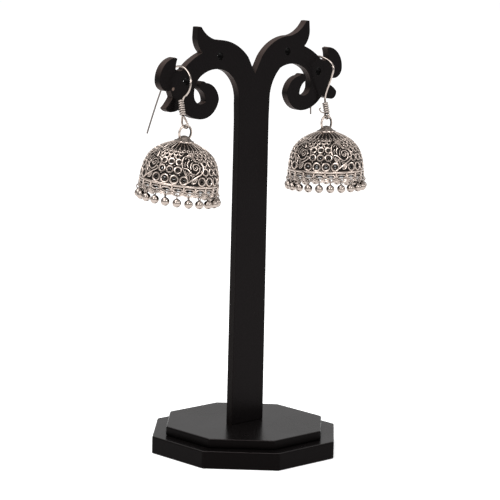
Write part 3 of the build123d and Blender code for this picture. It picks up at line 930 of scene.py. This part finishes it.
def drop_piece():
    """One bead on its neck, under the little ring that hangs on the wire."""
    link_z = SCALLOP_WIRE + GAP + LINK_WIRE - LINK_R
    neck_top = link_z - LINK_R
    shoulder = -BEAD_BELOW + BEAD_R
    ball = [(BEAD_R * sin(t), -BEAD_BELOW - BEAD_R * cos(t)) for t in np.linspace(0, pi, 19)[1:-1]]
    body = lathe("bead", (           # radius, height
        (0, -BEAD_BELOW - BEAD_R), *(p for p in ball if p[1] < -BEAD_BELOW + BEAD_R * 0.96),
        (NECK_R + 0.12, -BEAD_BELOW + BEAD_R * 0.97), (NECK_R - 0.06, shoulder + 0.06),
        (NECK_R - 0.08, neck_top - 0.12), (NECK_R - 0.02, neck_top + 0.08), (0, neck_top + 0.2)), 20)
    link = grown("link", source("link", [(0, 0, link_z)], turns=[UPRIGHT]), RING_TREE, bead_silver,
                 **{"Ring Radius": LINK_R, "Wire Radius": LINK_WIRE, "Ring Steps": 16, "Wire Steps": 7})
    drop = joined("drop", [body, link], bead_silver)
    polish_by(drop.data, lambda x, y, z: 1.0 if z < BALL_TOP else LINK_BRIGHT)
    return drop


def bell_seat(side):
    """Matrix from a bell's own frame to the stand's, in mm, by its hinge and its lean."""
    joint = next(j for j in frame["joints"] if j["name"] == f"{side}_bell_swing")
    hinge = Vector(joint["axis"]).normalized()
    x, y = LEAN[side]
    up = Vector((x, y, sqrt(1 - x * x - y * y)))
    place = Matrix((hinge.cross(up), hinge, up)).transposed().to_4x4()
    place.translation = Vector(joint["pos_m"]) / MM - up * PIVOT_Z
    return place


# ------------------------------------------------------------ ear wires, in mm in the stand's frame
WIRES = {                # shank from the cut tip behind the board, over it and down; coil from low to top
    "left": {
        "shank": ((-35.0, 16.3, 116.3), (-34.5, 7.6, 138.6), (-34.3, 2.1, 141.4), (-34.3, -2.1, 141.4),
                  (-35.2, -6.9, 138.0), (-36.0, -6.7, 133.0)),
        "coil": ((-36.8, -4.55, 124.8), (-37.1, -3.55, 130.4)),
        "eye": 1.55,
    },
    "right": {
        "shank": ((34.3, 4.6, 119.7), (33.5, 4.5, 139.3), (33.5, 2.1, 141.4), (33.5, -2.1, 141.4),
                  (33.5, -8.0, 138.9), (33.1, -6.6, 133.6), (33.5, -3.4, 127.8)),
        "coil": ((33.5, -4.7, 120.8), (33.5, -3.5, 124.9)),
        "eye": 1.0,
    },
}
COIL_WIRE, COIL_R, COIL_PITCH = 0.36, 0.82, 0.82
COIL_START = 0.2                       # from the eye's wires to the lowest turn
TAIL_Y, TAIL_THICK = 3.5, 0.72         # behind this the wire is its thinner tail
TAIL_BRIGHT, WIRE_BRIGHT = 0.4, 0.85
COIL_DARK, COIL_GAIN = 0.08, 0.95      # dark silver, painted shade with tarnish, from the coil's middle out; wear beyond it
STRAY_THICK = 0.62
STRAY = ((33.2, -4.3, 121.3), (32.5, -3.7, 121.2), (31.8, -3.1, 121.65), (31.45, -2.8, 122.3),
         (31.6, -2.85, 122.75), (31.95, -3.1, 122.8))     # cut end of the right coil's wire


def coil_turns(low, top, count):
    """Closed turns of wire stacked from low to top."""
    axis = (top - low).normalized()
    across = axis.orthogonal().normalized()
    beside = axis.cross(across)
    return [[low + (top - low) * ((k + 0.5) / count) + (across * cos(t) + beside * sin(t)) * COIL_R
             for t in full_turn(16)] for k in range(count)]


def shank_line(points):
    """The shank's smooth line, read from a spline with the route's points as its controls."""
    curve = bpy.data.curves.new("shank", "CURVE")
    curve.dimensions = "3D"
    spline = curve.splines.new("NURBS")
    spline.points.add(len(points) - 1)
    for control, point in zip(spline.points, points):
        control.co = (*point, 1)
    spline.order_u, spline.use_endpoint_u = 3, True
    curve.resolution_u = 10
    holder = placed("shank", curve)
    mesh = bpy.data.meshes.new_from_object(holder.evaluated_get(bpy.context.evaluated_depsgraph_get()))
    line = [vertex.co.copy() for vertex in mesh.vertices]
    bpy.data.objects.remove(holder)
    bpy.data.meshes.remove(mesh)
    return line


def eye_line(pivot, low, hinge, r):
    """The eye's closed line, square to the hinge, its lowest point on the pivot."""
    rise = low - pivot
    upward = rise.normalized()
    across = (hinge - upward * hinge.dot(upward)).normalized()
    if rise.length > 2 * r + 0.5:      # drop-shaped: its sides run up to the coil
        angles, shape = np.linspace(-2.1, 2.1, 9), [(0.0, rise.length)]
    else:
        angles, shape = np.linspace(-pi, pi, 13)[:-1], []
    shape += [(r * sin(t), r - r * cos(t)) for t in angles]
    return [pivot + across * x + upward * y for x, y in through(shape, 5, True)]


def ear_wire(side, seat):
    """Ear wire with its wound coil and the eye that holds the bell's ring."""
    wire = WIRES[side]
    low, top = (Vector(p) for p in wire["coil"])
    axis, high = (top - low).normalized(), (top - low).length
    shank = shank_line((*wire["shank"], wire["coil"][1], wire["coil"][0]))
    eye = eye_line(seat @ Vector((0, 0, PIVOT_Z)), low, seat.to_3x3() @ Vector((0, 1, 0)), wire["eye"])
    coil = coil_turns(low + axis * COIL_START, top, round(high / COIL_PITCH))
    lines = [(shank, False), (eye, True), *((turn, True) for turn in coil)]
    sizes = [TAIL_THICK if p.y > TAIL_Y else 1.0 for p in shank] + [1.0] * len(eye)
    sizes += [COIL_WIRE / EAR_WIRE] * sum(len(turn) for turn in coil)
    if side == "right":
        stray = [Vector(p) for p in through(STRAY, 5)]
        lines.append((stray, False))
        sizes += [STRAY_THICK] * len(stray)
    mesh = grown("ear wire", source("ear wire", lines=lines, thick=sizes), WIRE_TREE, wire_silver,
                 **{"Wire Radius": EAR_WIRE, "Wire Steps": 12})
    piece = joined(f"{side}_ear_wire", [mesh], wire_silver)

    def wire_polish_and_shade(x, y, z):
        """Bright wire, dull on its tail, with dark silver down between the coil's turns: painted shade with
        tarnish.
        """
        from_low = Vector((x, y, z)) - low
        up = from_low.dot(axis)
        off = (from_low - axis * up).length
        if -0.1 < up < high + 0.1 and off < COIL_R + COIL_WIRE + 0.05:
            return (off - COIL_R - COIL_DARK) / (COIL_WIRE - COIL_DARK) * COIL_GAIN
        return TAIL_BRIGHT if y > TAIL_Y else WIRE_BRIGHT

    polish_by(piece.data, wire_polish_and_shade)
    return piece


def dress_bell(side, meshes):
    """Place one bell, its fringe and its ear wire over the solids that they stand for."""
    seat = bell_seat(side)
    bell = joined(f"{side}_bell", [mesh.copy() for mesh in meshes], antique_silver)
    polish_by(bell.data, bell_polish)
    bell.data.transform(Matrix.Translation(seat.translation * MM) @ seat.to_3x3().to_4x4())
    bell.data.set_sharp_from_angle(angle=BELL_SHARP)
    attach(bell, f"{side}_bell")
    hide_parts(f"{side}_dome")

    places = drop_points(seat)
    hangers = source(f"{side} hangers", [hung for hung, turn in places],
                     turns=[Euler((0, 0, turn)) for hung, turn in places])
    drop = drop_piece()
    drops = grown("fringe", hangers, FRINGE_TREE, bead_silver, Drop=drop)
    fringe = joined(f"{side}_fringe", [drops], bead_silver)
    bpy.data.objects.remove(drop)
    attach(fringe, f"{side}_bell")
    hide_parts(*(f"{side}_drop_{k + 1:02d}" for k in range(DROPS)))

    wire = ear_wire(side, seat)
    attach(wire, "stand")
    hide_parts(f"{side}_ear_hook")


bpy.context.scene.view_settings.view_transform = "Standard"
add_camera()
add_floor()
add_surroundings()
add_lamps()
painted("painted_plate", "base_plate", bevel=0.5)
painted("painted_step", "base_step", bevel=0.55)
painted("painted_board", "stand_board", bevel=0.3)
bell_meshes = bell_parts()
for side in ("left", "right"):
    dress_bell(side, bell_meshes)
